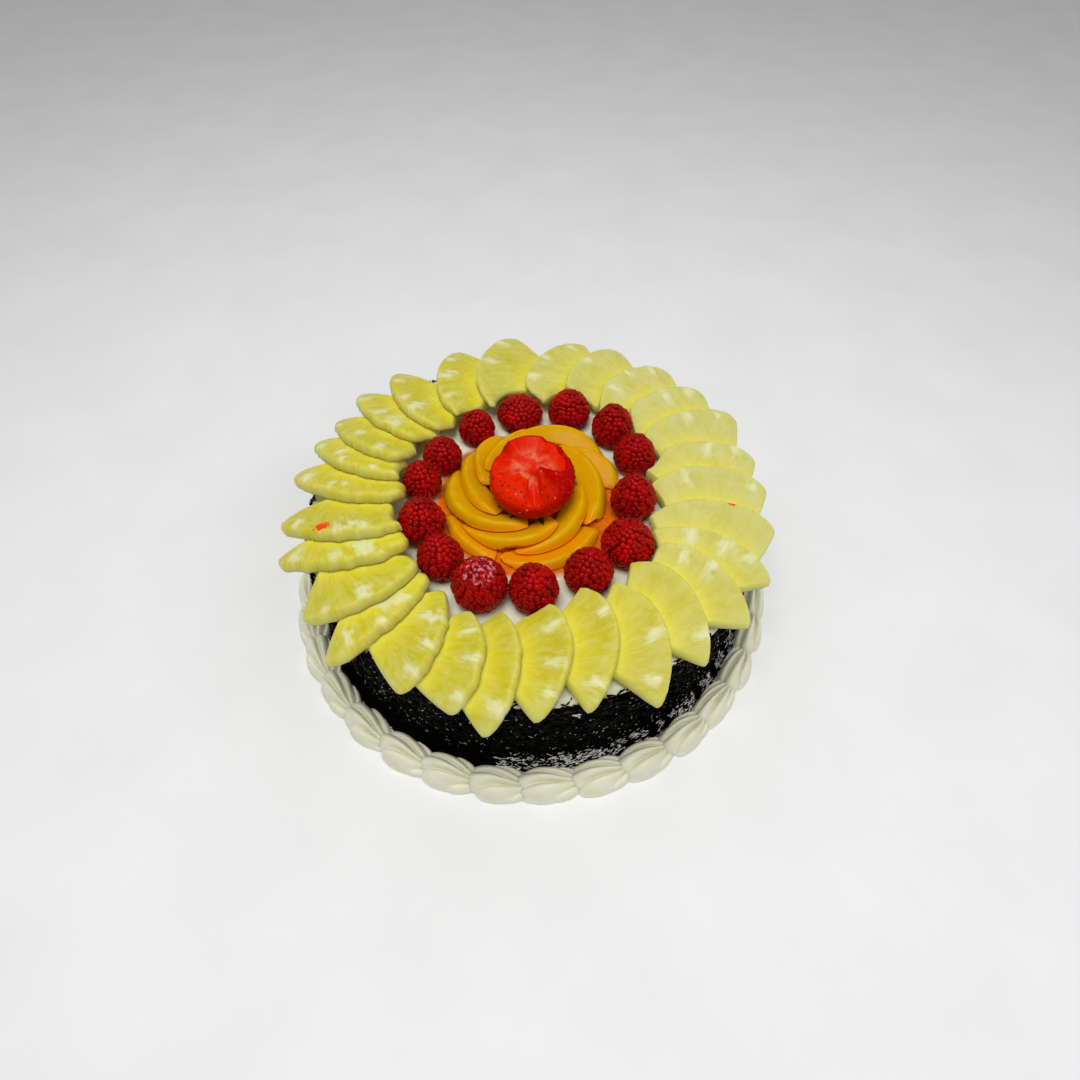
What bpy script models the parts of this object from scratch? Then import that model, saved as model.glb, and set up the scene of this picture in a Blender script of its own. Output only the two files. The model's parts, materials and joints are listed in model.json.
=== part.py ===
"""Round two-coloured fruit cake: dark flaked wall, piped shell border, fan of pineapple,
ring of raspberries and a rose of peach slices with an opened strawberry on top.
Worked in millimetres, written out in metres, standing on z = 0."""
import math
import random

import bmesh
import bpy
import numpy as np

MM = 0.001

# cake
CAKE_RADIUS = 104.7
CAKE_HEIGHT = 57.0
EDGE_ROUND = 5.0
COAT_RELIEF = 0.8
WALL_COLUMNS = 72

# piped border
SHELLS = 33
SHELL_STATIONS = 6
BORDER_INNER = 105.9
BORDER_OUTER = 123.0
BORDER_HEIGHT = 15.0

# pineapple: slices counted clockwise from the back, angles in degrees, lengths in millimetres
TIP_ANGLES = [95.5, 75.8, 65.6, 50.5, 37.9, 26.3, 11.4, 0.7, -11.5, -25.4, -37.9, -51.5, -64.5, -77.7,
              -88.2, -97.6, -104.6, -115.9, -132.0, -142.6, -160.0, -168.9, -184.4, -195.9, -204.2,
              -216.0, -228.3, -247.5]
TIP_RADII = [117.4, 116.2, 115.9, 115.8, 115.0, 116.8, 110.9, 110.0, 111.1, 112.5, 112.6, 110.6, 114.4,
             108.8, 110.2, 116.0, 111.4, 110.8, 117.0, 113.7, 115.3, 112.9, 112.1, 110.1, 106.8, 111.4,
             110.2, 110.4]
INNER_RADII = [56, 57, 59, 63, 59, 57, 55, 55, 55, 56, 59, 60, 64, 60,
               62, 67, 69, 66, 62, 65, 62, 58, 57, 58, 58, 57, 56, 56]
TWISTS = [13, 13, 5, 6, 3, 1, 3, 1, -3, -1, 4, 7, 7, 9,
          4, -2, -6, -7, -2, 4, 10, 11, 9, 9, 8, 4, 6, 12]
BACK_SLOPES = [0.98, 0.96, 1.4, 1.7, 1.8, 1.5, 1.7, 2.2, 2.6, 0.8, 0.86, 0.74, 0.77, 0.7,
               0.84, 0.87, 2.0, 2.0, 0.55, 1.3, 0.6, 0.8, 0.8, 0.9, 1.15, 0.7, 0.65, 1.1]
SLICE_BULGE = 10.6
SLICE_BLUNT = 5.0
SLICE_CLEARANCE = 1.2
SLICE_LAP = 0.95
ROW_RADII = [71.0, 83.0, 95.0, 103.0]
BERRY_CLEARANCE = 1.8

# raspberries: angle, distance of the middle from the axis, half width, height
BERRIES = [(97, 53.8, 11.8, 15.5), (71, 57.5, 11.0, 19.5), (46, 57.5, 10.4, 22.0), (24, 54.6, 10.3, 20.0),
           (-7, 47.2, 10.6, 21.5), (-36, 52.5, 11.9, 18.8), (-62, 52.5, 10.6, 20.5), (-88, 55, 10.6, 21.0),
           (-111, 57, 11.9, 22.5), (-134, 54.6, 10.2, 19.8), (-157, 52.2, 10.8, 21.5), (175, 51, 9.1, 19.0),
           (153, 48.8, 9.6, 17.2), (124, 49.8, 9.2, 17.2)]

# peach slices: angle, distance and height of the ridge from one end to the other
PEACHES = [
    [(156, 38.3, 61.5), (180, 37.0, 64.0), (197, 34.5, 65.0), (213, 30.6, 65.6), (229, 26.6, 66.0),
     (247, 22.6, 66.0), (265, 21.2, 65.2)],
    [(131, 39.0, 61.5), (147, 37.0, 63.6), (162, 32.5, 64.8), (179, 27.8, 65.8), (200, 24.3, 66.3),
     (223, 21.6, 66.0)],
    [(106, 38.0, 62.0), (115, 39.0, 64.5), (124, 38.8, 65.2), (134, 36.6, 65.5), (143, 32.5, 65.8),
     (155, 26.5, 66.3), (168, 22.6, 66.3)],
    [(84, 42.5, 61.0), (95, 40.6, 64.5), (104, 37.0, 65.6), (120, 32.0, 66.2), (140, 27.0, 66.4),
     (150, 24.5, 66.2)],
    [(36, 41.5, 62.0), (54, 44.6, 65.0), (67, 44.2, 66.0), (79, 41.6, 66.5), (90, 38.6, 66.8),
     (103, 34.0, 66.8), (117, 28.5, 66.4)],
    [(12, 39.5, 61.0), (22, 41.4, 63.2), (31, 40.8, 64.2), (40, 38.0, 65.0), (54, 34.6, 65.0)],
    [(328, 30.0, 61.5), (345, 31.2, 64.2), (360, 31.0, 65.6), (380, 31.0, 66.6), (400, 31.2, 67.0),
     (418, 30.6, 66.6), (433, 28.0, 65.6)],
    [(260, 32.2, 60.0), (280, 30.2, 62.2), (301, 28.0, 64.2), (320, 25.8, 65.6), (346, 23.9, 66.4),
     (366, 21.9, 66.4)],
    [(212, 35.4, 60.6), (233, 32.8, 62.8), (253, 30.0, 64.4), (272, 27.4, 65.4), (290, 24.6, 66.0),
     (301, 22.2, 65.8)],
    [(198, 38.6, 59.6), (212, 39.4, 60.6), (228, 39.0, 60.6), (244, 38.4, 59.6)],
    [(252, 38.0, 59.2), (275, 38.8, 60.4), (292, 38.4, 61.0), (308, 37.0, 61.2), (326, 34.6, 60.6)]]
PEACH_STEP = 9.0
SKIN_WIDTH = 4.2
SKIN_DROP = 8.0
CUT_SLOPE = 0.42
PEACH_THICKNESS = 6.0
PEACH_DEPTH = 9.0
PEACH_GAP = 0.75

# strawberry: middle, depth of the cuts, and its opened wedges counter-clockwise from the front right,
# each with its start angle, the radius and height of its rim, and a point halfway down its cut flesh
BERRY_MIDDLE = (0.7, -2.5)
CUT_DEPTH = 1.3
CUT_WIDTH = 5.0
WEDGES = [(-74, 3.6, 84.0, 2.2, 80.8), (-15, 14.2, 82.8, 6.0, 80.8), (33, 14.0, 84.6, 7.0, 81.2),
          (68, 15.0, 85.6, 7.0, 81.0), (141, 17.3, 79.8, 8.5, 81.2), (195, 6.0, 80.6, 3.5, 79.8),
          (263, 17.6, 76.4, 10.0, 79.4)]

GAP = 0.35


def clear_scene():
    for item in list(bpy.data.objects):
        bpy.data.objects.remove(item)


def make_material(name, colour, roughness):
    material = bpy.data.materials.new(name)
    material.use_nodes = True
    shader = material.node_tree.nodes["Principled BSDF"]
    shader.inputs["Base Color"].default_value = (*colour, 1.0)
    shader.inputs["Roughness"].default_value = roughness
    return material


def make_object(name, verts, faces, colour, roughness, smooth=True):
    mesh = bpy.data.meshes.new(name)
    mesh.from_pydata([tuple(c * MM for c in v) for v in verts], [], faces)
    mesh.update()
    bm = bmesh.new()
    bm.from_mesh(mesh)
    bmesh.ops.recalc_face_normals(bm, faces=bm.faces)
    bm.to_mesh(mesh)
    bm.free()
    if smooth:
        for face in mesh.polygons:
            face.use_smooth = True
    mesh.materials.append(make_material(name, colour, roughness))
    item = bpy.data.objects.new(name, mesh)
    bpy.context.scene.collection.objects.link(item)
    return item


def polar(radius, degrees, height):
    angle = math.radians(degrees)
    return (radius * math.cos(angle), radius * math.sin(angle), height)


def ring_solid(rings, low_tip=None, high_tip=None):
    """Closed solid through rings of points, ended by a single point or a flat face."""
    count = len(rings[0])
    verts = [p for ring in rings for p in ring]
    faces = []
    for i in range(len(rings) - 1):
        for j in range(count):
            k = (j + 1) % count
            faces.append((i * count + j, i * count + k, (i + 1) * count + k, (i + 1) * count + j))
    ends = ((0, low_tip), ((len(rings) - 1) * count, high_tip))
    for start, tip in ends:
        if tip is None:
            faces.append(tuple(start + j for j in range(count)))
            continue
        verts.append(tip)
        for j in range(count):
            faces.append((start + j, start + (j + 1) % count, len(verts) - 1))
    return verts, faces


def slab_solid(top, under):
    """Closed solid between two grids of points with the same rows and columns."""
    rows = len(top)
    cols = len(top[0])
    total = rows * cols
    verts = [p for row in top for p in row] + [p for row in under for p in row]
    faces = []
    for i in range(rows - 1):
        for j in range(cols - 1):
            a = i * cols + j
            quad = (a, a + 1, a + cols + 1, a + cols)
            faces.append(quad)
            faces.append(tuple(total + v for v in reversed(quad)))
    edge = [j for j in range(cols)]
    edge += [i * cols + cols - 1 for i in range(1, rows)]
    edge += [(rows - 1) * cols + j for j in range(cols - 2, -1, -1)]
    edge += [i * cols for i in range(rows - 2, 0, -1)]
    for a, b in zip(edge, edge[1:] + edge[:1]):
        faces.append((a, total + a, total + b, b))
    return verts, faces


def build_body():
    """Cream covered cake with the flaked coat as a rough relief on its wall."""
    chance = random.Random(11)
    profile = [(CAKE_RADIUS - 1.2, 0.0, 0), (CAKE_RADIUS - 0.2, 1.5, 0), (CAKE_RADIUS - 0.2, 17.5, 0)]
    profile += [(CAKE_RADIUS, z, 1) for z in (22.5, 28.0, 33.5, 39.0, 44.5, 49.5)]
    middle = CAKE_RADIUS - EDGE_ROUND
    for degrees, rough in ((18, 0.6), (52, 0), (90, 0)):
        angle = math.radians(degrees)
        profile.append((middle + EDGE_ROUND * math.cos(angle),
                        CAKE_HEIGHT - EDGE_ROUND * (1 - math.sin(angle)), rough))
    rings = []
    for radius, height, rough in profile:
        ring = []
        for j in range(WALL_COLUMNS):
            push = rough * COAT_RELIEF * (chance.random() - 0.35)
            ring.append(polar(radius + push, j * 360.0 / WALL_COLUMNS, height))
        rings.append(ring)
    verts, faces = ring_solid(rings, None, (0.0, 0.0, CAKE_HEIGHT))
    make_object("cake_body", verts, faces, (0.03, 0.02, 0.015), 0.6)


def shell_size(along):
    """Relative size of a piped shell, from its fat head at 0 to its tail at 1."""
    swell = math.sin(math.pi * min(1.0, 0.22 + along * 0.62)) ** 0.6
    return 0.62 + 0.38 * swell - 0.16 * max(0.0, along - 0.55)


def build_border():
    """Ring of piped shells round the foot, each head lying over the tail before it."""
    chance = random.Random(5)
    profile = [(0.0, 0.0), (0.86, 0.0), (1.0, 0.22), (0.93, 0.55), (0.72, 0.86), (0.42, 1.0),
               (0.14, 0.88), (0.0, 0.55), (-0.01, 0.25)]
    rings = []
    for shell in range(SHELLS):
        wide = 1.0 + 0.05 * (chance.random() - 0.5)
        tall = 1.0 + 0.08 * (chance.random() - 0.5)
        for step in range(SHELL_STATIONS):
            along = step / SHELL_STATIONS
            size = shell_size(along)
            degrees = (shell + along) * 360.0 / SHELLS - 91.5
            ring = []
            for k, (across, up) in enumerate(profile):
                groove = 1.0 - (0.05 if k in (3, 5) else 0.0)
                radius = BORDER_INNER + (BORDER_OUTER - BORDER_INNER) * max(0.0, across) * size * wide * groove
                ring.append(polar(radius, degrees, BORDER_HEIGHT * up * size * tall))
            rings.append(ring)
    count = len(profile)
    verts = [p for ring in rings for p in ring]
    faces = []
    for i in range(len(rings)):
        n = (i + 1) % len(rings)
        for j in range(count):
            k = (j + 1) % count
            faces.append((i * count + j, i * count + k, n * count + k, n * count + j))
    make_object("piped_border", verts, faces, (0.85, 0.79, 0.62), 0.45)


class SliceFan:
    """Heights that let each pineapple slice lie on the one before it all the way round."""

    def __init__(self):
        order = list(range(len(TIP_ANGLES) - 1, -1, -1))
        self.angles = [TIP_ANGLES[i] for i in order]
        self.rises = [self.rise(a) for a in self.angles]
        self.steps = list(np.cumsum(self.rises))
        self.total = self.steps[-1]
        self.level = {i: self.steps[k] for k, i in enumerate(order)}
        keys = []
        values = []
        for turn in (-2, -1, 0, 1, 2):
            keys += [a + 360.0 * turn for a in self.angles]
            values += [s + self.total * turn for s in self.steps]
        self.keys = keys
        self.values = values

    @staticmethod
    def rise(degrees):
        """Thickness and clearance of one slice, thicker on the left of the cake."""
        return 4.2 - 0.9 * math.cos(math.radians(degrees)) + SLICE_CLEARANCE

    def height(self, degrees):
        spread = np.linspace(-11.0, 11.0, 9)
        return float(np.mean(np.interp(degrees + spread, self.keys, self.values)))

    def lowest_angle(self, level, near):
        """Angle clockwise of a slice where its underside meets the cream."""
        angles = np.linspace(near - 45.0, near + 10.0, 221)
        heights = [self.height(a) for a in angles]
        return float(np.interp(level, heights, angles))


def droop(radius, degrees):
    """How far the overhanging tips sink, most at the front."""
    if radius < 98.0:
        return 0.0
    most = 2.6 - 1.1 * math.sin(math.radians(degrees))
    return most * min(1.5, (radius - 98.0) / 16.0) ** 1.4


def rim_height(radius):
    """Height of the cake's rounded top edge."""
    out = max(0.0, radius - CAKE_RADIUS + EDGE_ROUND)
    if out > EDGE_ROUND:
        return 0.0
    return CAKE_HEIGHT - EDGE_ROUND + math.sqrt(EDGE_ROUND ** 2 - out ** 2)


def slice_edges(i, radius, inner):
    """Angles of the clockwise and counter-clockwise edges of a slice at one radius."""
    from_tip = TIP_RADII[i] - radius
    part = (radius - inner) / (TIP_RADII[i] - inner)
    line = TIP_ANGLES[i] + TWISTS[i] * (1.0 - part)
    round_end = math.sqrt(max(0.0, 4.0 * part * (1.0 - part)))
    pointed = 1.0 + 0.5 * max(0.0, math.cos(math.radians(TIP_ANGLES[i] + 60.0)))
    left = max(0.0, math.cos(math.radians(TIP_ANGLES[i] - 190.0)))
    swell = SLICE_BULGE * round_end ** (pointed if part > 0.5 else 2.0 - left)
    blunt = SLICE_BLUNT * max(0.0, math.cos(math.radians(TIP_ANGLES[i] - 150.0)))
    bulge = 0.8 + swell + blunt * (1.0 - part) ** 2
    back = 0.8 + BACK_SLOPES[i] * from_tip + 0.8 * (1.0 - math.exp(-from_tip / 2.0))
    back = min(back, 0.8 + 0.5 * blunt + 1.3 * (radius - inner), 30.0)
    return line - math.degrees(back / radius), line + math.degrees(bulge / radius)


def berry_edge(degrees):
    """Distance from the axis at which a ray leaves the last raspberry in its way, with clearance."""
    far = 0.0
    for angle, distance, half, _ in BERRIES:
        turn = math.radians(degrees - angle)
        reach = half + BERRY_CLEARANCE
        aside = distance * math.sin(turn)
        if abs(aside) < reach and math.cos(turn) > 0.0:
            far = max(far, distance * math.cos(turn) + math.sqrt(reach ** 2 - aside ** 2))
    return far


def slice_rows(i, fan, levels, cols):
    """Grid of plan positions of one slice from its inner end, cut back to the raspberries, to its tip."""
    inner = INNER_RADII[i]
    edge = fan.lowest_angle(fan.level[i] - SLICE_LAP * fan.rise(TIP_ANGLES[i]), TIP_ANGLES[i])
    rows = []
    for k, radius in enumerate([inner] + levels + [TIP_RADII[i] - 3.5, TIP_RADII[i]]):
        low, high = slice_edges(i, radius, inner)
        low = max(low, min(edge, high - math.degrees(6.0 / radius)))
        angles = [low + (high - low) * c / (cols - 1) for c in range(cols)]
        rows.append([(max(radius, berry_edge(a) + 1.5 * k), a) for a in angles])
    return rows


def build_pineapple():
    fan = SliceFan()
    for i in range(len(TIP_ANGLES)):
        rows = slice_rows(i, fan, ROW_RADII, 5)
        rise = fan.rise(TIP_ANGLES[i])
        thickness = rise - SLICE_CLEARANCE
        top = []
        under = []
        for row in rows:
            top_row = []
            under_row = []
            for radius, degrees in row:
                low = CAKE_HEIGHT + GAP + fan.height(degrees) - fan.level[i] + SLICE_LAP * rise
                low = max(low, CAKE_HEIGHT + GAP) - droop(radius, degrees)
                low = max(low, rim_height(radius) + GAP + 0.7)
                under_row.append(polar(radius, degrees, low))
                top_row.append(polar(radius, degrees, low + thickness))
            top.append(top_row)
            under.append(under_row)
        verts, faces = slab_solid(top, under)
        make_object("pineapple_slice_%02d" % (i + 1), verts, faces, (0.68, 0.6, 0.09), 0.35, smooth=False)


def build_raspberries():
    """Berries standing tip up, with staggered rows of bumps."""
    levels = [(0.0, 0.62), (0.09, 0.86), (0.25, 0.98), (0.42, 1.0), (0.58, 0.93), (0.73, 0.77),
              (0.87, 0.52), (0.96, 0.26)]
    for n, (degrees, distance, half, tall) in enumerate(BERRIES):
        chance = random.Random(40 + n)
        x, y, _ = polar(distance, degrees, 0.0)
        lean_x = 0.05 * (chance.random() - 0.5)
        lean_y = 0.05 * (chance.random() - 0.5)
        rings = []
        for k, (up, wide) in enumerate(levels):
            ring = []
            for j in range(12):
                bump = 1.0 if (j + k) % 2 else 0.92
                if k == 0:
                    bump = 0.95
                radius = half * wide * bump
                z = tall * up
                angle = j * 30.0 + 10.0 * n
                px, py, _ = polar(radius, angle, 0.0)
                ring.append((x + px + lean_x * z, y + py + lean_y * z, CAKE_HEIGHT + GAP + z))
            rings.append(ring)
        tip = (x + lean_x * tall, y + lean_y * tall, CAKE_HEIGHT + GAP + tall)
        verts, faces = ring_solid(rings, None, tip)
        make_object("raspberry_%02d" % (n + 1), verts, faces, (0.42, 0.01, 0.015), 0.35)


def ridge(i, degrees, reach=0.0):
    """Distance and height of a peach slice's ridge at an angle, or None past its ends."""
    line = PEACHES[i]
    for turn in (-360.0, 0.0, 360.0):
        a = degrees + turn
        if line[0][0] - reach <= a <= line[-1][0] + reach:
            angles = [p[0] for p in line]
            return (float(np.interp(a, angles, [p[1] for p in line])),
                    float(np.interp(a, angles, [p[2] for p in line])))
    return None


def peach_top(i, degrees, radius):
    """Height of a peach slice's upper surface: cut face inside the ridge, skin outside."""
    found = ridge(i, degrees, PEACH_STEP)
    if found is None:
        return -1.0
    out = radius - found[0]
    if out < 0.0:
        return max(found[1] + CUT_SLOPE * max(out, -PEACH_DEPTH), CAKE_HEIGHT + GAP + 0.35)
    share = min(1.0, out / SKIN_WIDTH)
    return found[1] - 0.35 * out - (SKIN_DROP - 0.35 * SKIN_WIDTH) * (1.0 - math.sqrt(1.0 - share * share))


def peach_floor(i, degrees, radius):
    """Lowest height open to a slice: above the cream and above every slice outside it."""
    here = ridge(i, degrees, PEACH_STEP)
    low = CAKE_HEIGHT + GAP
    for other in range(len(PEACHES)):
        found = ridge(other, degrees, PEACH_STEP)
        if other != i and found is not None and found[0] > here[0]:
            low = max(low, peach_top(other, degrees, radius) + PEACH_GAP)
    return low


def peach_foot(i, degrees):
    """Radius where a slice's skin comes down on what lies beneath it."""
    start = ridge(i, degrees)[0]
    outer = start + SKIN_WIDTH * 0.97
    for other in range(len(PEACHES)):
        found = ridge(other, degrees, PEACH_STEP)
        if other != i and found is not None and found[0] > start:
            outer = min(outer, found[0] - 0.4)
    for radius in np.linspace(start, outer, 30)[1:]:
        if peach_top(i, degrees, radius) < peach_floor(i, degrees, radius) + 0.25:
            return float(radius)
    return outer


def peach_section(i, degrees, size):
    """Closed outline of a slice at one angle, shrunk toward its ridge near the ends."""
    start = ridge(i, degrees)[0]
    foot = (peach_foot(i, degrees) - start) * size
    depth = PEACH_DEPTH * size
    outs = [foot, foot * 0.6, 0.0, -depth * 0.5, -depth]
    top = []
    under = []
    for out in outs:
        radius = start + out
        floor = peach_floor(i, degrees, radius)
        high = max(peach_top(i, degrees, radius), floor + 0.3)
        thick = PEACH_THICKNESS * (1.0 - 0.75 * max(0.0, -out) / PEACH_DEPTH)
        low = max(floor, high - thick)
        high = low + (high - low) * (0.4 + 0.6 * size)
        top.append(polar(radius, degrees, high))
        under.append(polar(radius, degrees, low))
    return top + list(reversed(under))[:-1]


def build_peaches():
    """Rose of overlapping peach slices round the middle."""
    for i, line in enumerate(PEACHES):
        first = math.ceil(line[0][0] / PEACH_STEP)
        last = math.floor(line[-1][0] / PEACH_STEP)
        stations = [PEACH_STEP * k for k in range(first, last + 1)]
        rings = []
        for a in stations:
            from_end = min(a - stations[0], stations[-1] - a)
            rings.append(peach_section(i, a, min(1.0, 0.5 + 0.5 * from_end / (1.5 * PEACH_STEP))))
        verts, faces = ring_solid(rings)
        make_object("peach_slice_%02d" % (i + 1), verts, faces, (0.8, 0.42, 0.01), 0.25)


def wedge_shape(degrees):
    """Rim and flesh point of the strawberry at an angle, blended across the cuts, and the cut's depth."""
    turn = (degrees - WEDGES[0][0]) % 360.0
    starts = [(w[0] - WEDGES[0][0]) % 360.0 for w in WEDGES]
    here = max(k for k, s in enumerate(starts) if s <= turn)
    after = (here + 1) % len(WEDGES)
    to_start = turn - starts[here]
    to_end = (starts[after] - turn) % 360.0
    near = min(to_start, to_end)
    other = WEDGES[here - 1] if to_start < to_end else WEDGES[after]
    share = 0.5 * max(0.0, 1.0 - near / CUT_WIDTH)
    mixed = [h + (o - h) * share for h, o in zip(WEDGES[here][1:], other[1:])]
    return mixed, CUT_DEPTH * max(0.0, 1.0 - near / CUT_WIDTH)


def strawberry_section(degrees):
    """Outer skin from the bottom up to the rim, then the cut flesh down to the pit."""
    (rim, top, inner, inner_top), cut = wedge_shape(degrees)
    line = [(9.0, 64.5), (14.6, 65.6), (17.6, 67.3), (19.1, 70.4)]
    for turn in (0, 30, 60, 90):
        angle = math.radians(turn)
        sink = cut * turn / 90.0
        line.append((19.3 - (19.3 - rim) * (1.0 - math.cos(angle)) - 0.4 * sink,
                     74.0 + (top - 74.0) * math.sin(angle) - sink))
    line.append((inner, inner_top - 0.6 * cut))
    return line


def build_strawberry():
    stations = []
    for k, wedge in enumerate(WEDGES):
        wide = (WEDGES[(k + 1) % len(WEDGES)][0] - wedge[0]) % 360.0
        stations += [wedge[0], wedge[0] + CUT_WIDTH, wedge[0] + wide * 0.5, wedge[0] + wide - CUT_WIDTH]
    columns = [[polar(r, a, z) for r, z in strawberry_section(a)] for a in stations]
    rings = []
    for level in range(len(columns[0])):
        rings.append([(BERRY_MIDDLE[0] + c[level][0], BERRY_MIDDLE[1] + c[level][1], c[level][2])
                      for c in columns])
    low = (BERRY_MIDDLE[0], BERRY_MIDDLE[1], 64.2)
    high = (BERRY_MIDDLE[0], BERRY_MIDDLE[1], 79.0)
    verts, faces = ring_solid(rings, low, high)
    make_object("strawberry", verts, faces, (0.72, 0.02, 0.01), 0.3)


def leaf_height(radius, degrees):
    """Height at which a leaf rests on the peach slices."""
    tops = [peach_top(i, degrees, radius) for i in range(len(PEACHES))]
    return max(62.0, max(tops) + GAP)


LEAVES = [(163, 19.2), (211, 18.2), (237, 18.4), (285, 20.0), (330, 16.0), (20, 15.0), (70, 16.0), (115, 16.0)]


def build_calyx():
    """Star of leaves pressed between the strawberry and the peach slices."""
    outline = []
    for k, (degrees, reach) in enumerate(LEAVES):
        for turn, radius in ((-14, 6.0), (-7, 12.0), (0, reach), (7, 12.0)):
            outline.append((radius, degrees + turn * (1.0 if radius < 10.0 else 1.3)))
    top = []
    under = []
    for radius, degrees in outline:
        x, y, _ = polar(radius, degrees, 0.0)
        x += BERRY_MIDDLE[0]
        y += BERRY_MIDDLE[1]
        z = leaf_height(math.hypot(x, y), math.degrees(math.atan2(y, x)) % 360.0)
        top.append((x, y, z + 0.5))
        under.append((x, y, z))
    count = len(outline)
    verts = top + under + [(*BERRY_MIDDLE, 62.6), (*BERRY_MIDDLE, 62.0)]
    faces = []
    for k in range(0, count, 4):
        after = (k + 4) % count
        for base, centre in ((0, 2 * count), (count, 2 * count + 1)):
            faces.append((base + k, base + k + 1, base + k + 3))
            faces.append((base + k + 1, base + k + 2, base + k + 3))
            faces.append((base + k, base + k + 3, centre))
            faces.append((base + k + 3, base + after, centre))
    for a in range(count):
        b = (a + 1) % count
        faces.append((a, b, count + b, count + a))
    make_object("strawberry_calyx", verts, faces, (0.03, 0.07, 0.02), 0.6)


def main():
    clear_scene()
    build_body()
    build_border()
    build_pineapple()
    build_raspberries()
    build_peaches()
    build_strawberry()
    build_calyx()


main()
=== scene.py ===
"""Looks of the round fruit cake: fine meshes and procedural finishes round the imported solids.
Lengths are worked in millimetres and written out in metres, in the part's own frame."""
import json
import math
import random

import bpy
import numpy as np
from mathutils import Matrix, Vector, noise

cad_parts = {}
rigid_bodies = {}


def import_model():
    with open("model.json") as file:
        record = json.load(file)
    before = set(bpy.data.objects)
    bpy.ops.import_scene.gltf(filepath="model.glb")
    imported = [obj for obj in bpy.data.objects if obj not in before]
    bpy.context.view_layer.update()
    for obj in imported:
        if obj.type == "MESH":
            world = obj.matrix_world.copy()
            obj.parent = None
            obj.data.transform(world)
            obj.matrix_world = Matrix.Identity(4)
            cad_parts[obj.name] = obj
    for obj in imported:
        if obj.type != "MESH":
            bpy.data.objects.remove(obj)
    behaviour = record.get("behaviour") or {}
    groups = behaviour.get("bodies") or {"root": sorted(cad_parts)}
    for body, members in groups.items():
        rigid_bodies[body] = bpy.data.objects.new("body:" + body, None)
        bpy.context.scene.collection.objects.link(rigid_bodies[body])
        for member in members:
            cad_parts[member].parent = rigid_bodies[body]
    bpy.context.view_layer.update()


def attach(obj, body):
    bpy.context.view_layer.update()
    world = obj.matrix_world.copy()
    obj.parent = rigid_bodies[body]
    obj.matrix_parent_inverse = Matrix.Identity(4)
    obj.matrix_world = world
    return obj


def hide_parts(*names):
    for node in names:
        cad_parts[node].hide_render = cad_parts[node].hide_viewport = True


MM = 0.001

# cake
CAKE_RADIUS = 104.7
CAKE_HEIGHT = 57.0
EDGE_ROUND = 5.0
GAP = 0.35
TOP = CAKE_HEIGHT + GAP
JUICE_RADIUS = 38.0

# directions round the cake, in degrees counter-clockwise from the right
FRONT_RIGHT = -25.0
FRONT_LEFT = -125.0
LEFT = 190.0
BACK = 90.0

# dark coat: its spread at the foot of the wall, the number of strands, flakes, specks and smears,
# where the cream smears lie, and the angle and height of one splash of cream
FLARE_LEAST = 1.7
FLARE_FRONT = 4.2
FLARE_HEIGHT = 5.5
STRANDS = 10500
EDGE_STRANDS = 900
EDGE_FLAKES = 650
SPECKS = 1500
SMEARS = 1000
SMEAR_ANGLES = (-98.0, -12.0)
SMEAR_HEIGHT = 10.0
SPLASH = (-79.8, 50.2)

# piped border
SHELLS = 33
SHELL_TURN = -85.1
SHELL_MIDDLE = 114.3
SHELL_INNER = 105.1
SHELL_WIDTH = 17.0
SHELL_RIDGES = 6.0
SHELL_LENGTH = 30.0
SHELL_HEIGHT = 13.2
SHELL_GROOVE = 0.5

# pineapple: slices counted clockwise from the back, angles in degrees, lengths in millimetres
TIP_ANGLES = [95.5, 75.8, 65.6, 50.5, 37.9, 26.3, 11.4, 0.7, -11.5, -25.4, -37.9, -51.5, -64.5, -77.7,
              -88.2, -97.6, -104.6, -115.9, -132, -142.6, -160, -168.9, -184.4, -195.9, -204.2,
              -216, -228.3, -247.5]
TIP_RADII = [117.4, 116.2, 115.9, 115.8, 115, 116.8, 110.9, 110, 111.1, 112.5, 112.6, 110.6, 114.4,
             108.8, 110.2, 116, 111.4, 110.8, 117, 113.7, 115.3, 112.9, 112.1, 110.1, 106.8, 111.4,
             110.2, 110.4]
INNER_RADII = [56, 57, 59, 63, 59, 57, 55, 55, 55, 56, 59, 60, 64, 60,
               62, 67, 69, 66, 62, 65, 62, 58, 57, 58, 58, 57, 56, 56]
TWISTS = [13, 13, 5, 6, 3, 1, 3, 1, -3, -1, 4, 7, 7, 9,
          4, -2, -6, -7, -2, 4, 10, 11, 9, 9, 8, 4, 6, 12]
BACK_SLOPES = [0.98, 0.96, 1.4, 1.7, 1.8, 1.5, 1.7, 2.2, 2.6, 0.8, 0.86, 0.74, 0.77, 0.7,
               0.84, 0.87, 2, 2, 0.55, 1.3, 0.6, 0.8, 0.8, 0.9, 1.15, 0.7, 0.65, 1.1]
SLICE_BULGE = 10.6
SLICE_BLUNT = 5.0
SLICE_CLEARANCE = 1.2
SLICE_LAP = 0.95
SLICE_PLUMP = 0.7
EDGE_SOFT = 1.7
BERRY_CLEARANCE = 0.5
RING_OFFSET = 28.0
DROOP_START = 98.0
# direction round the cake whose slices are painted paler, as painted light
LIT_SIDE = 20.0
STAINED_LEFT = 21
STAINED_RIGHT = 8

# raspberries: angle, distance of the middle from the axis, half width, height
BERRIES = [(97, 53.8, 11.8, 15.5), (71, 57.5, 11, 19.5), (46, 57.5, 10.4, 22), (24, 54.6, 10.3, 20),
           (-7, 47.2, 10.6, 21.5), (-36, 52.5, 11.9, 18.8), (-62, 52.5, 10.6, 20.5), (-88, 55, 10.6, 21),
           (-111, 57, 11.9, 22.5), (-134, 54.6, 10.2, 19.8), (-157, 52.2, 10.8, 21.5), (175, 51, 9.1, 19),
           (153, 48.8, 9.6, 17.2), (124, 49.8, 9.2, 17.2)]
# the berry whose top drupelets get painted highlights
GLOSSY_BERRY = 8
DRUPELET_PROUD = 0.6

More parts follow.
